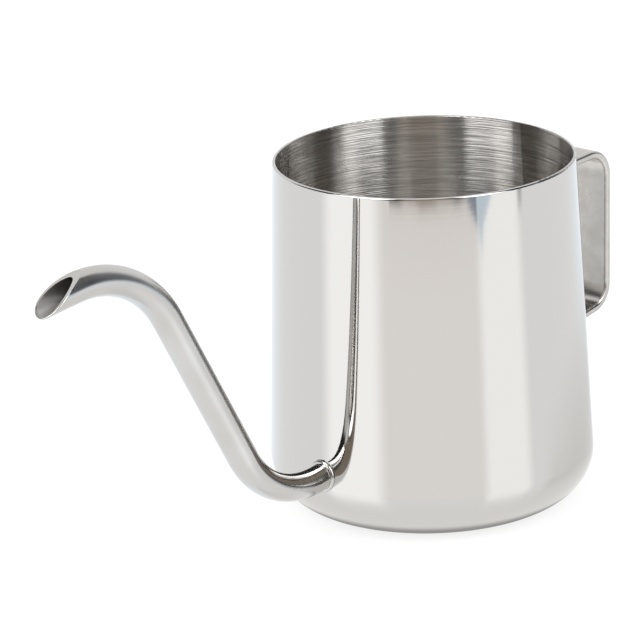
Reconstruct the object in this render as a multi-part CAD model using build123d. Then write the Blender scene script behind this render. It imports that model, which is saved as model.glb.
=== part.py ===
"""Small gooseneck drip kettle in stainless steel: a drawn cup with an open mouth, a bent pouring tube
and a bent strap handle, joined by three welds.

Millimetres, +Z up. The origin is on the cup's axis, in the plane that the kettle stands on. The spout
points towards -X and the handle towards +X, and every piece is symmetric about the plane y = 0.
"""
from build123d import *
from math import sqrt
import os

# Cup: one drawn sheet, wall and base together
SHEET = 0.8
HEIGHT = 88.0
MOUTH_RADIUS = 37.5
WALL_RADIUS_AT_TABLE = 41.2      # where the straight wall would meet the table if it had no corner
BASE_CORNER_RADIUS = 12.2
STANDING_RING_RADIUS = 24.0      # inner edge of the flat ring that the cup stands on
RECESS_DEPTH = 1.0
RECESS_SLOPE = 1.5               # how far the step up into the recess runs inwards
RECESS_BEND_RADIUS = 2.5
RIM_OUTER_ROUNDING = 0.5
RIM_INNER_ROUNDING = 0.25

# Spout: a round tube bent in the plane y = 0, drawn slimmer at its foot. Points are (x, z).
TUBE_WALL = 0.8
FOOT_RADIUS = 3.25
RISER_RADIUS = 3.75
TIP_RADIUS = 3.65
TIP_FLARE = 0.6                  # how much wider, but no higher, the uncut tip ends than it began
SPOUT_START = (-33.0, 17.3)      # on the centre line, inside the cup
LOWER_CORNER = (-58.8, 12.0)
UPPER_CORNER = (-100.1, 86.4)
SPOUT_END = (-138.0, 83.1)       # beyond the slanted cut
LOWER_BEND_RADIUS = 25.6
UPPER_BEND_RADIUS = 29.9
CUT_TOP = (-117.2, 88.57)        # the slanted pouring cut runs from the top of the tube ...
CUT_LIP = (-131.2, 79.95)        # ... to its lip,
CUT_BOW_RADIUS = 30.0            # bowed outwards between them
CUT_ROUNDING = 0.25

# Handle: a flat strap bent to a bracket, its centre line as (x, z) points
STRAP_WIDTH = 16.8
STRAP_THICKNESS = 2.0
STRAP_EDGE_ROUNDING = 0.7
STRAP_BEND_RADIUS = 6.2
HANDLE_LINE = ((28.2, 74.9), (61.55, 76.7), (60.55, 36.0), (28.2, 30.5))

WELD_LEG = 0.7                   # how far a bead reaches along both of the surfaces that it joins
WELD_ROUNDING = 0.45

FOOT_CARRY_ON = 3.0              # the spout's bead is shaped round a straight bar this much longer
CUTTER_SIZE = 60.0               # a block larger than the whole tip of the spout,
CUTTER_OVERLAP = 3.0             # set back by more than the cut's bow


def cup_sheet():
    """The drawn sheet: standing ring and recess, base corner, straight wall and rounded rim."""
    outside = FilletPolyline(
        (0, RECESS_DEPTH),
        (STANDING_RING_RADIUS - RECESS_SLOPE, RECESS_DEPTH),
        (STANDING_RING_RADIUS, 0),
        (WALL_RADIUS_AT_TABLE, 0),
        (MOUTH_RADIUS, HEIGHT),
        radius=(RECESS_BEND_RADIUS, RECESS_BEND_RADIUS, BASE_CORNER_RADIUS),
    )
    section = make_face(offset(outside, SHEET, side=Side.LEFT))
    for radius, rounding in (
        (MOUTH_RADIUS, RIM_OUTER_ROUNDING),
        (MOUTH_RADIUS - SHEET, RIM_INNER_ROUNDING),
    ):
        section = fillet(section.vertices().sort_by_distance((radius, HEIGHT))[0], rounding)
    return revolve(Plane.XZ * section, Axis.Z)


def filled_cup(growth=0.0):
    """Everything inside the cup's outer surface, as one body without the recess, grown by growth."""
    outline = Polyline((0, 0), (WALL_RADIUS_AT_TABLE, 0), (MOUTH_RADIUS, HEIGHT), (0, HEIGHT), close=True)
    section = make_face(outline)
    section = fillet(section.vertices().sort_by(Axis.X)[-1], BASE_CORNER_RADIUS)
    if growth:
        section = split(offset(section, growth), bisect_by=Plane.YZ, keep=Keep.TOP)
    return revolve(Plane.XZ * section, Axis.Z)


def tube_path():
    """The straights and bends of the spout's centre line, in order from the cup to the tip."""
    line = FilletPolyline(
        SPOUT_START, LOWER_CORNER, UPPER_CORNER, SPOUT_END,
        radius=(LOWER_BEND_RADIUS, UPPER_BEND_RADIUS),
    )
    return (Plane.XZ * line).edges().sort_by(Axis.X, reverse=True)


def disc(edge, position, radius, flare=0.0):
    """A disc square to a path edge, at a position from 0 to 1 along it, wider along Y by flare."""
    outline = Ellipse(radius + flare, radius) if flare else Circle(radius)
    return Plane(edge @ position, x_dir=(0, 1, 0), z_dir=edge % position) * outline


def round_bar(smaller=0.0):
    """The spout before its ends are cut, as a solid bar with its radius less by smaller."""
    radii = (FOOT_RADIUS, FOOT_RADIUS, RISER_RADIUS, RISER_RADIUS, TIP_RADIUS, TIP_RADIUS)
    flares = (0.0, 0.0, 0.0, 0.0, TIP_FLARE)
    bar = Part()
    for edge, start, end, flare in zip(tube_path(), radii, radii[1:], flares):
        ends = [disc(edge, 0, start - smaller), disc(edge, 1, end - smaller, flare)]
        even = start == end and not flare
        bar += sweep(ends[0], path=edge) if even else sweep(ends, path=edge, multisection=True)
    return bar


def foot_bar(growth=0.0):
    """The straight first length of the spout, carried on a little, its radius grown by growth."""
    foot = tube_path()[0]
    return extrude(disc(foot, 0, FOOT_RADIUS + growth), foot.length + FOOT_CARRY_ON)


def beyond_the_cut():
    """A block that holds what the slanted cut takes away, hollowed by the cylinder that bows the cut."""
    top, lip = (Vector(x, 0, z) for x, z in (CUT_TOP, CUT_LIP))
    chord = lip - top
    plane = Plane(origin=(top + lip) / 2, x_dir=chord, z_dir=Vector(0, 1, 0).cross(chord))
    block = Box(*[CUTTER_SIZE] * 3, align=(Align.CENTER, Align.CENTER, Align.MIN))
    bow = Rot(X=90) * Cylinder(CUT_BOW_RADIUS, CUTTER_SIZE * 2)
    axis_depth = sqrt(CUT_BOW_RADIUS**2 - (chord.length / 2) ** 2)
    return plane * (Pos(Z=-CUTTER_OVERLAP) * block - Pos(Z=-axis_depth) * bow)


def strap_bar(growth=0.0):
    """The strap with both its ends inside the cup, grown all over by growth."""
    line = FilletPolyline(*HANDLE_LINE, radius=STRAP_BEND_RADIUS)
    side = make_face(offset(line, STRAP_THICKNESS / 2 + growth, side=Side.BOTH))
    bar = extrude(Plane.XZ * side, STRAP_WIDTH / 2 + growth, both=True)
    flanks = bar.faces().filter_by(Axis.Y)
    return fillet(flanks.edges(), STRAP_EDGE_ROUNDING + growth)


def spout_tube(cup):
    """The bent tube, saddled onto the wall at its foot and cut slanting at its tip."""
    tube = round_bar() - round_bar(TUBE_WALL) - cup - beyond_the_cut()
    cut = tube.faces().sort_by(Axis.X)[0]
    return fillet(cut.edges(), CUT_ROUNDING)


def weld_beads(grown_bar, bar, grown_cup, cup):
    """The ring round each place where a bar meets the cup, with its outer corner rounded."""
    rings = (grown_bar & grown_cup) - cup - bar
    corner = [
        edge for edge in rings.edges()
        if max(body.shells()[0].distance_to(edge @ 0.5) for body in (grown_bar, grown_cup)) < 1e-4
    ]
    return fillet(corner, WELD_ROUNDING)


def main():
    os.makedirs("parts", exist_ok=True)
    cup, grown_cup = filled_cup(), filled_cup(WELD_LEG)
    strap = strap_bar()
    upper_weld, lower_weld = weld_beads(strap_bar(WELD_LEG), strap, grown_cup, cup).solids().sort_by(
        Axis.Z, reverse=True
    )
    pieces = {
        "vessel_shell": cup_sheet() - round_bar(TUBE_WALL),
        "spout_tube": spout_tube(cup),
        "spout_weld": weld_beads(foot_bar(WELD_LEG), foot_bar(), grown_cup, cup) - round_bar(),
        "handle_strap": strap - cup,
        "handle_weld_upper": upper_weld,
        "handle_weld_lower": lower_weld,
    }
    for name, piece in pieces.items():
        export_step(piece, f"parts/{name}.step")


if __name__ == "__main__":
    main()
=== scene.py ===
"""Looks of the gooseneck kettle: camera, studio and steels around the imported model, in metres."""
import math

import bpy
from mathutils import Matrix, Vector


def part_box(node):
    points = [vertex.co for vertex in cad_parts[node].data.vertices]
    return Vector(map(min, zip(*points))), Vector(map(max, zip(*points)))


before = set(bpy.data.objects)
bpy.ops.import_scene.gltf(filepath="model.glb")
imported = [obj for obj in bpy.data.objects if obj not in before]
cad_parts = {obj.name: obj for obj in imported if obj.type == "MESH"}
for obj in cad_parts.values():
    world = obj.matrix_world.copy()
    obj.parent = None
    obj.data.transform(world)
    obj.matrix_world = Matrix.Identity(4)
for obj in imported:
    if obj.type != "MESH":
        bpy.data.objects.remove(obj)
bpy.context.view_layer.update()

CUP_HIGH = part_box("vessel_shell")[1]
CUP_RADIUS = CUP_HIGH.x
CUP_HEIGHT = CUP_HIGH.z
CUP_MIDDLE = Vector((0.0, 0.0, CUP_HEIGHT * 0.6))
TUBE_LOW, TUBE_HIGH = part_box("spout_tube")

# Camera. Azimuth 0 looks along +Y, and a negative azimuth stands the camera on the spout's side.
CAMERA_AZIMUTH = -46.39
CAMERA_ELEVATION = 18.27
CAMERA_DISTANCE = 1.020
CAMERA_ROLL = -2.155
CAMERA_AIM = Vector((-0.01821, 0.02011, 0.04605))
CAMERA_LENS = 229.5
SENSOR_WIDTH = 36.0

# The two softbox lamps. Bearings here and in the world are in degrees from the camera's own azimuth,
# positive towards the picture's right, and elevations are in degrees above the horizon.
LEFT_SOFTBOX_BEARING = -54.0
RIGHT_SOFTBOX_BEARING = 57.0
SOFTBOX_ELEVATION = 35.0
SOFTBOX_DISTANCE = 1.2
SOFTBOX_SIZE = (0.8, 1.0)
SOFTBOX_POWER = 4.0

# The top edge of the lit sweep as metal sees it, and how much higher it is away from the front.
SWEEP_EDGE = -11.9
SWEEP_EDGE_RISE = 10.0

# The blue-grey card: the bearing and elevation of its lower tip, and how much it widens going up.
CARD_BEARING = 39.6
CARD_TIP = -12.8
CARD_SPREAD = 13.0

# The table, with a hair's gap under the kettle.
FLOOR_HALF_SIZE = 3.0
FLOOR_GAP = 0.0001

# Polished steel: the metal's own reflectance.
STEEL = (0.65, 0.635, 0.615, 1)

# The inside's shading normal leans upwards by this slope, as rise over run. It stands for turned steps
# that are too fine to model, and no geometry backs it.
INSIDE_LEAN = 0.18

# The tube's middle line near the tip: how far below the tube's highest point it is at the very tip,
# and how much it climbs for each metre back towards the cup.
TIP_DROP = 0.0048
TIP_SLOPE = 0.087

# How deep the grooves turned into the inside are.
GROOVE_DEPTH = 0.00004

# How far back from the tip the bore is painted, and over what length its finish fades out.
BORE_REACH = 0.021
BORE_FADE = 0.002


def direction(azimuth, elevation):
    """The unit vector from the object towards that azimuth and elevation, in degrees."""
    a, e = math.radians(azimuth), math.radians(elevation)
    return Vector((math.sin(a) * math.cos(e), -math.cos(a) * math.cos(e), math.sin(e)))


class Nodes:
    """Adds shader nodes to one node tree, each from its inputs, so that a shader reads as a formula."""

    def __init__(self, tree):
        self.tree = tree
        tree.nodes.clear()

    def add(self, kind, inputs=None, **settings):
        node = self.tree.nodes.new(kind)
        for name, value in settings.items():
            setattr(node, name, value)
        for name, value in (inputs or {}).items():
            self.put(value, node.inputs[name])
        return node

    def put(self, value, socket):
        """Links an output socket to an input, or writes a plain value on it."""
        if isinstance(value, bpy.types.NodeSocket):
            self.tree.links.new(value, socket)
        else:
            socket.default_value = value

    def math(self, operation, a, b=0.0, c=0.0):
        node = self.add("ShaderNodeMath", operation=operation)
        for value, socket in zip((a, b, c), node.inputs):
            self.put(value, socket)
        return node.outputs[0]

    def vector(self, operation, a, b=(0.0, 0.0, 0.0)):
        node = self.add("ShaderNodeVectorMath", operation=operation)
        self.put(a, node.inputs[0])
        self.put(b, node.inputs[1])
        return node.outputs["Value" if operation in ("LENGTH", "DOT_PRODUCT") else "Vector"]

    def xyz(self, vector):
        """The three parts of a vector."""
        return self.add("ShaderNodeSeparateXYZ", {"Vector": vector}).outputs[:3]

    def joined(self, x, y, z):
        """The vector with these three parts."""
        return self.add("ShaderNodeCombineXYZ", {"X": x, "Y": y, "Z": z}).outputs[0]

    def radius(self, place):
        """How far a place is from the cup's axis."""
        return self.vector("LENGTH", self.scaled(place, (1.0, 1.0, 0.0)))

    def step(self, value, low, high):
        """0 at low and beyond it, 1 at high and beyond it, smooth between. Low may be the larger."""
        node = self.add("ShaderNodeMapRange", {"Value": value, "From Min": low, "From Max": high},
                        interpolation_type="SMOOTHSTEP")
        return node.outputs["Result"]

    def window(self, value, low, high, soft):
        """1 between low and high, 0 outside, with an edge as wide as soft."""
        rise = self.step(value, low - soft / 2, low + soft / 2)
        fall = self.step(value, high - soft / 2, high + soft / 2)
        return self.math("SUBTRACT", rise, fall)

    def band(self, value, low, full_low, full_high, high):
        """0 outside low and high, 1 between full_low and full_high, smooth between."""
        return self.math("MULTIPLY", self.step(value, low, full_low), self.step(value, high, full_high))

    def blend(self, factor, a, b):
        """The colour a at factor 0, and b at factor 1."""
        node = self.add("ShaderNodeMix", data_type="RGBA")
        self.put(factor, node.inputs["Factor"])
        self.put(a, node.inputs[6])
        self.put(b, node.inputs[7])
        return node.outputs[2]

    def scaled(self, vector, scale):
        return self.vector("MULTIPLY", vector, scale)

    def noise(self, vector, scale=1.0, detail=2.0, roughness=0.5):
        node = self.add("ShaderNodeTexNoise",
                        {"Vector": vector, "Scale": scale, "Detail": detail, "Roughness": roughness})
        return node.outputs[0]

    def position(self):
        return self.add("ShaderNodeTexCoord").outputs["Object"]

    def mix(self, factor, a, b):
        """The shader a at factor 0, and b at factor 1."""
        node = self.add("ShaderNodeMixShader", {"Fac": factor})
        self.put(a, node.inputs[1])
        self.put(b, node.inputs[2])
        return node.outputs[0]

    def surface(self, shader):
        """Makes the shader the material's own."""
        self.add("ShaderNodeOutputMaterial", {"Surface": shader})


# ---------------------------------------------------------------- camera

def make_camera():
    data = bpy.data.cameras.new("camera")
    data.lens = CAMERA_LENS
    data.sensor_width = SENSOR_WIDTH
    data.dof.use_dof = False
    camera = bpy.data.objects.new("camera", data)
    bpy.context.scene.collection.objects.link(camera)
    back = direction(CAMERA_AZIMUTH, CAMERA_ELEVATION)
    camera.location = CAMERA_AIM + back * CAMERA_DISTANCE
    level = (-back).to_track_quat("-Z", "Y").to_matrix()
    camera.rotation_euler = (level @ Matrix.Rotation(math.radians(CAMERA_ROLL), 3, "Z")).to_euler()
    bpy.context.scene.camera = camera


# ---------------------------------------------------------------- studio

def make_world():
    """Plain white to the camera, and an even pale fill to all that isn't shiny. Only metal sees the
    studio: a lit sweep below, and a room with two softboxes above it."""
    world = bpy.data.worlds.new("studio")
    bpy.context.scene.world = world
    world.use_nodes = True
    n = Nodes(world.node_tree)
    ray = n.add("ShaderNodeLightPath")
    x, y, z = n.xyz(n.add("ShaderNodeTexCoord").outputs["Generated"])
    azimuth = n.math("MULTIPLY", n.math("ARCTAN2", x, n.math("MULTIPLY", y, -1.0)), 180 / math.pi)
    bearing = n.math("WRAP", n.math("SUBTRACT", azimuth, CAMERA_AZIMUTH), 180.0, -180.0)
    elevation = n.math("MULTIPLY", n.math("ARCSINE", z), 180 / math.pi)

    sweep = sweep_light(n, bearing, elevation)
    room = room_light(n, bearing, elevation)
    aside = n.math("ABSOLUTE", bearing)
    edge = n.math("MULTIPLY_ADD", n.step(aside, 28.0, 36.0), SWEEP_EDGE_RISE, SWEEP_EDGE)
    studio = n.blend(n.step(n.math("SUBTRACT", elevation, edge), -0.05, 0.05), sweep, room)
    fill = (0.8, 0.8, 0.8, 1)
    seen = n.blend(ray.outputs["Is Glossy Ray"], fill, studio)
    seen = n.blend(ray.outputs["Is Camera Ray"], seen, (1, 1, 1, 1))
    background = n.add("ShaderNodeBackground", {"Color": seen, "Strength": 1.0})
    n.add("ShaderNodeOutputWorld", {"Surface": background.outputs[0]})


def sweep_light(n, bearing, elevation):
    """The lit sweep: white, warmer far off in front, cooler behind, and brighter before each softbox."""
    aside = n.math("ABSOLUTE", bearing)
    front = n.blend(n.step(elevation, -20.0, -16.0), (0.985, 0.99, 0.99, 1), (1.02, 0.995, 0.98, 1))
    front = n.blend(n.step(elevation, -13.4, -11.4), front, (0.965, 0.925, 0.90, 1))
    plain = n.blend(n.step(aside, 36.0, 76.0), front, (0.99, 1.0, 1.01, 1))
    plain = n.blend(n.step(aside, 125.0, 165.0), plain, (1.0, 1.07, 1.14, 1))
    low_right = n.math("MULTIPLY", n.window(bearing, 88.0, 165.0, 16.0), n.step(elevation, -16.0, -18.5))
    plain = n.blend(low_right, plain, (0.82, 0.82, 0.815, 1))
    shallow = n.step(elevation, -62.0, -16.0)
    left = n.math("MULTIPLY", n.window(bearing, -81.5, -38.0, 14.0), shallow)
    right = n.math("MULTIPLY", n.band(bearing, 32.2, 41.2, 66.0, 76.5), shallow)
    lit = n.blend(left, plain, (1.31, 1.33, 1.34, 1))
    lit = n.blend(right, lit, (1.245, 1.26, 1.265, 1))
    return cards(n, bearing, elevation, lit)


def cards(n, bearing, elevation, lit):
    """The lower tip of a blue-grey card beside the right softbox, darker on its left, and a dark stand."""
    half_width = n.math("MULTIPLY", n.math("ADD", elevation, -CARD_TIP), CARD_SPREAD)
    off = n.math("ABSOLUTE", n.math("SUBTRACT", bearing, CARD_BEARING))
    tone = n.blend(n.step(bearing, 35.5, 37.5), (0.27, 0.32, 0.39, 1), (0.70, 0.82, 0.92, 1))
    card = n.step(n.math("SUBTRACT", half_width, off), -1.0, 1.0)
    stand = n.math("MULTIPLY", n.window(bearing, 71.0, 75.0, 3.0), n.step(elevation, -13.2, -12.7))
    return n.blend(n.math("MULTIPLY", stand, 0.6), n.blend(card, lit, tone), (0.3, 0.3, 0.3, 1))


def room_light(n, bearing, elevation):
    """Above the sweep: a dim warm room in front, two softboxes with dark flags beside them, a pale room
    behind and a pale ceiling."""
    aside = n.math("ABSOLUTE", bearing)
    dim = n.blend(n.step(aside, 15.0, 24.0), (0.35, 0.30, 0.25, 1), (0.075, 0.075, 0.075, 1))
    dim = n.blend(n.step(aside, 66.0, 70.0), dim, (0.02, 0.021, 0.022, 1))
    grey = n.math("MULTIPLY", n.step(bearing, 88.0, 94.0), n.step(elevation, 48.0, 36.0))
    dim = n.blend(grey, dim, (0.15, 0.155, 0.17, 1))
    side = n.blend(n.step(aside, 106.0, 128.0), dim, (0.87, 0.87, 0.87, 1))
    left = n.band(bearing, -76.5, -73.5, -39.0, -32.0)
    right = n.band(bearing, 29.0, 33.0, 62.5, 65.5)
    boxes = n.math("MULTIPLY", n.math("ADD", left, right), n.window(elevation, 4.0, 64.0, 4.0))
    glow = n.blend(n.step(elevation, 22.0, 46.0), (2.2, 2.21, 2.22, 1), (4.4, 4.43, 4.46, 1))
    lit = n.blend(boxes, side, glow)
    return n.blend(n.step(elevation, 66.0, 78.0), lit, (1.1, 1.1, 1.1, 1))


def make_lamp(name, bearing):
    """One lamp that lights the object but isn't mirrored in it: metal sees the world's own softboxes."""
    data = bpy.data.lights.new(name, "AREA")
    data.shape = "RECTANGLE"
    data.size, data.size_y = SOFTBOX_SIZE
    data.energy = SOFTBOX_POWER
    lamp = bpy.data.objects.new(name, data)
    bpy.context.scene.collection.objects.link(lamp)
    out = direction(CAMERA_AZIMUTH + bearing, SOFTBOX_ELEVATION)
    lamp.location = out * SOFTBOX_DISTANCE
    lamp.rotation_euler = out.to_track_quat("Z", "Y").to_euler()
    lamp.visible_glossy = False
    lamp.visible_camera = False


def make_lamps():
    make_lamp("softbox_left", LEFT_SOFTBOX_BEARING)
    make_lamp("softbox_right", RIGHT_SOFTBOX_BEARING)


def make_floor():
    """The table: white to the camera, and it keeps the kettle's soft shadow."""
    mesh = bpy.data.meshes.new("floor")
    size = FLOOR_HALF_SIZE
    corners = [(-size, -size, 0), (size, -size, 0), (size, size, 0), (-size, size, 0)]
    mesh.from_pydata(corners, [], [(0, 1, 2, 3)])
    floor = bpy.data.objects.new("floor", mesh)
    floor.location.z = -FLOOR_GAP
    bpy.context.scene.collection.objects.link(floor)
    mesh.materials.append(floor_material())


def floor_material():
    """White paper to the camera. To metal it is clear, so that the world's sweep shows, but for painted
    shade on the paper close to the foot and a darker painted shadow under it."""
    material, n = new_material("floor_white")
    ray = n.add("ShaderNodeLightPath")
    paper = n.add("ShaderNodeBsdfDiffuse", {"Color": (0.30, 0.30, 0.30, 1)})
    glow = n.add("ShaderNodeEmission", {"Color": (0.78, 0.78, 0.78, 1)})
    lit = n.add("ShaderNodeAddShader")
    n.put(paper.outputs[0], lit.inputs[0])
    n.put(glow.outputs[0], lit.inputs[1])
    radius = n.radius(n.position())
    # Painted shade that only metal sees: the paper close to the foot is a little darker, and a dark painted
    # shadow lies under it.
    under = n.step(radius, CUP_RADIUS - 0.003, CUP_RADIUS - 0.007)
    near = n.step(radius, CUP_RADIUS + 0.030, CUP_RADIUS - 0.003)
    painted_floor_shade = n.blend(under, (0.96, 0.955, 0.95, 1), (0.38, 0.38, 0.38, 1))
    shade = n.add("ShaderNodeEmission", {"Color": painted_floor_shade})
    clear = n.add("ShaderNodeBsdfTransparent")
    gloss = n.mix(near, clear.outputs[0], shade.outputs[0])
    n.surface(n.mix(ray.outputs["Is Glossy Ray"], lit.outputs[0], gloss))
    return material


# ---------------------------------------------------------------- steels

def new_material(name):
    material = bpy.data.materials.new(name)
    material.use_nodes = True
    return material, Nodes(material.node_tree)


def steel(n, colour, roughness, normal, **more):
    """A bare metal surface. The colour is the metal's own reflectance."""
    inputs = {"Base Color": colour, "Metallic": 1.0, "Roughness": roughness, "Normal": normal, **more}
    return n.add("ShaderNodeBsdfPrincipled", inputs).outputs[0]


def bumped(n, height, depth):
    """The normal of a surface raised by height times depth, in metres."""
    node = n.add("ShaderNodeBump", {"Strength": 1.0, "Distance": depth, "Height": height})
    return node.outputs[0]


def cup_material():
    """The cup: polished outside and turned inside."""
    material, n = new_material("cup_steel")
    place = n.position()
    outside = outside_mask(n, place)
    polished = polished_steel(n, place)
    brushed = brushed_inside(n, place)
    n.surface(n.mix(outside, brushed, polished))
    return material


def outside_mask(n, place):
    """1 where the cup's surface faces away from its middle, 0 inside the cup."""
    outward = n.vector("SUBTRACT", place, CUP_MIDDLE)
    facing = n.vector("DOT_PRODUCT", n.add("ShaderNodeNewGeometry").outputs["True Normal"], outward)
    return n.step(facing, -0.0005, 0.0005)


def polished_steel(n, place):
    """The outside: buffed bright, with faint waves and the last polishing lines round it."""
    waves = n.noise(place, scale=16.0, detail=1.0)
    lines = n.noise(round_coordinate(n, place, 12.0, 1400.0), detail=3.0, roughness=0.6)
    smears = n.noise(n.scaled(place, (55.0, 55.0, 20.0)), detail=4.0, roughness=0.6)
    roughness = n.math("MULTIPLY_ADD", smears, 0.03, n.math("MULTIPLY_ADD", lines, 0.02, 0.012))
    height = n.math("MULTIPLY_ADD", lines, 0.01, waves)
    return steel(n, STEEL, roughness, bumped(n, height, 0.00003))


def round_coordinate(n, place, around, across):
    """A coordinate for turned grooves: it runs slowly round the cup and fast along its profile."""
    x, y, z = n.xyz(place)
    along = n.math("ADD", z, n.radius(place))
    return n.joined(n.math("MULTIPLY", x, around), n.math("MULTIPLY", y, around),
                    n.math("MULTIPLY", along, across))


def brushed_inside(n, place):
    """The inside: grooves turned round it spread light up and down, and its normal leans upwards."""
    grooves = n.noise(round_coordinate(n, place, 90.0, 2200.0), detail=2.0, roughness=0.6)
    fine = n.noise(round_coordinate(n, place, 40.0, 5000.0), detail=0.0)
    lean = n.math("MULTIPLY", n.xyz(place)[2], -INSIDE_LEAN)
    height = n.math("MULTIPLY_ADD", fine, GROOVE_DEPTH, n.math("MULTIPLY_ADD", grooves, GROOVE_DEPTH, lean))
    roughness = n.math("MULTIPLY_ADD", grooves, 0.10, 0.15)
    colour = n.blend(n.step(grooves, 0.3, 0.7), (0.47, 0.455, 0.435, 1), (0.68, 0.665, 0.645, 1))
    tangent = n.add("ShaderNodeTangent", direction_type="RADIAL", axis="Z").outputs[0]
    stretch = {"Anisotropic": 1.0, "Anisotropic Rotation": 0.25, "Tangent": tangent}
    return steel(n, colour, roughness, bumped(n, height, 1.0), **stretch)


def tube_material():
    """The spout: satin on the riser, brighter round the lower bend, and rough inside its bore."""
    material, n = new_material("tube_steel")
    place = n.position()
    height = n.xyz(place)[2]
    spots = n.noise(place, scale=180.0, detail=3.0, roughness=0.6)
    patches = n.noise(place, scale=60.0, detail=2.0)
    base = n.math("MULTIPLY_ADD", n.step(height, 0.026, 0.042), 0.09, 0.09)
    shine = n.math("MULTIPLY_ADD", spots, 0.06, n.math("MULTIPLY_ADD", patches, 0.05, base))
    colour = n.blend(n.step(patches, 0.3, 0.7), (0.62, 0.605, 0.585, 1), (0.68, 0.67, 0.655, 1))
    outside = steel(n, colour, shine, bumped(n, spots, 0.000008))
    dull = n.math("MULTIPLY_ADD", spots, 0.1, 0.38)
    bore = steel(n, (0.56, 0.545, 0.53, 1), dull, bumped(n, spots, 0.00003))
    n.surface(n.mix(bore_mask(n, place), outside, bore))
    return material


def bore_mask(n, place):
    """1 on the inside of the tube near its tip, where the surface faces the tube's own middle line."""
    x, y, z = n.xyz(place)
    back = n.math("SUBTRACT", x, TUBE_LOW.x)
    middle = n.math("MULTIPLY_ADD", back, TIP_SLOPE, TUBE_HIGH.z - TIP_DROP)
    outward = n.joined(0.0, y, n.math("SUBTRACT", z, middle))
    facing = n.vector("DOT_PRODUCT", n.add("ShaderNodeNewGeometry").outputs["True Normal"], outward)
    near_tip = n.step(back, BORE_REACH + BORE_FADE / 2, BORE_REACH - BORE_FADE / 2)
    return n.math("MULTIPLY", n.step(facing, -0.0012, -0.0022), near_tip)


def strap_material():
    """The handle: satin, with a mottled warm tone and fine marks along the strap."""
    material, n = new_material("strap_steel")
    place = n.position()
    blotches = n.noise(place, scale=190.0, detail=3.0, roughness=0.55)
    marks = n.noise(n.scaled(place, (700.0, 2500.0, 120.0)), detail=2.0)
    shine = n.math("MULTIPLY_ADD", blotches, 0.14, 0.17)
    colour = n.blend(n.step(blotches, 0.3, 0.7), (0.60, 0.575, 0.54, 1), (0.69, 0.665, 0.63, 1))
    height = n.math("MULTIPLY_ADD", marks, 0.3, blotches)
    n.surface(steel(n, colour, shine, bumped(n, height, 0.00002)))
    return material


def weld_material():
    """The beads: polished over, with slight waves."""
    material, n = new_material("weld_steel")
    waves = n.noise(n.position(), scale=600.0, detail=1.0)
    n.surface(steel(n, STEEL, 0.16, bumped(n, waves, 0.00004)))
    return material


def paint(node, material):
    """Puts the material on every slot of a CAD node."""
    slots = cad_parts[node].data.materials
    for i in range(len(slots)):
        slots[i] = material


def paint_all():
    paint("vessel_shell", cup_material())
    paint("spout_tube", tube_material())
    paint("handle_strap", strap_material())
    weld = weld_material()
    for node in ("spout_weld", "handle_weld_upper", "handle_weld_lower"):
        paint(node, weld)


bpy.context.scene.view_settings.view_transform = "Standard"
make_camera()
make_world()
make_lamps()
make_floor()
paint_all()
